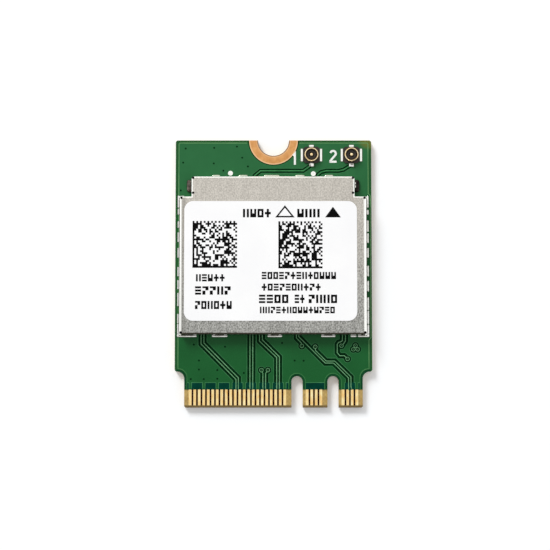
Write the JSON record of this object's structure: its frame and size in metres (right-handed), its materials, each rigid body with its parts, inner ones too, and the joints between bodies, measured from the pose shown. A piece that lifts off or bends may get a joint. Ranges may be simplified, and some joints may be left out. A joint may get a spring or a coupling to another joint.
{
  "type": "laptop wifi card",
  "caption": "Flat keyed plug-in radio card with a folded shield, a screw half-hole and small round antenna jacks, for wireless networking in a laptop.",
  "frame": {"origin": "middle of the card's plan, on its lowest surface", "axes": "+Y from the contact edge to the screw end, +Z out of the component face, +X to the side of the antenna jacks"},
  "size_m": [0.022, 0.03, 0.0022],
  "materials": {
    "laminate": "resin and glass board edge",
    "copper": "etched foil",
    "solder_mask": "green film, satin",
    "gold": "hard gold over copper",
    "bare_copper": "organic coated copper",
    "tin": "bright tin",
    "fluxed_solder": "dull solder with flux",
    "shield_sheet": "fine grained nickel silver sheet",
    "label_paper": "white film label",
    "jack_metal": "pale gold plate",
    "black_moulding": "black moulding",
    "chip_mould": "moulded black resin",
    "can_metal": "metal can",
    "ferrite": "grey ferrite block",
    "ceramic": "tan ceramic"
  },
  "bodies": {
    "root": {"circuit_board": "laminate", "copper_top": "copper", "copper_bottom": "copper", "solder_mask_top": "solder_mask", "solder_mask_bottom": "solder_mask", "edge_contacts_top": "gold", "edge_contacts_bottom": "gold", "screw_pad_top": "bare_copper", "screw_pad_bottom": "bare_copper", "test_pads": "gold", "shield_solder": "tin", "shield_lugs": "fluxed_solder", "shield_fence": "shield_sheet", "shield_lid": "shield_sheet", "lid_label": "label_paper", "jack_1_shell": "jack_metal", "jack_1_insulator": "black_moulding", "jack_1_contact": "jack_metal", "jack_2_shell": "jack_metal", "jack_2_insulator": "black_moulding", "jack_2_contact": "jack_metal", "jack_lands": "tin", "radio_chip": "chip_mould", "radio_chip_lands": "tin", "front_end_1": "chip_mould", "front_end_2": "chip_mould", "crystal": "can_metal", "flash_memory": "chip_mould", "power_inductors": "ferrite", "diplexers": "ceramic", "capacitors": "ceramic", "capacitor_ends": "tin", "resistors": "chip_mould", "resistor_ends": "tin", "component_lands": "tin"}
  },
  "joints": []
}
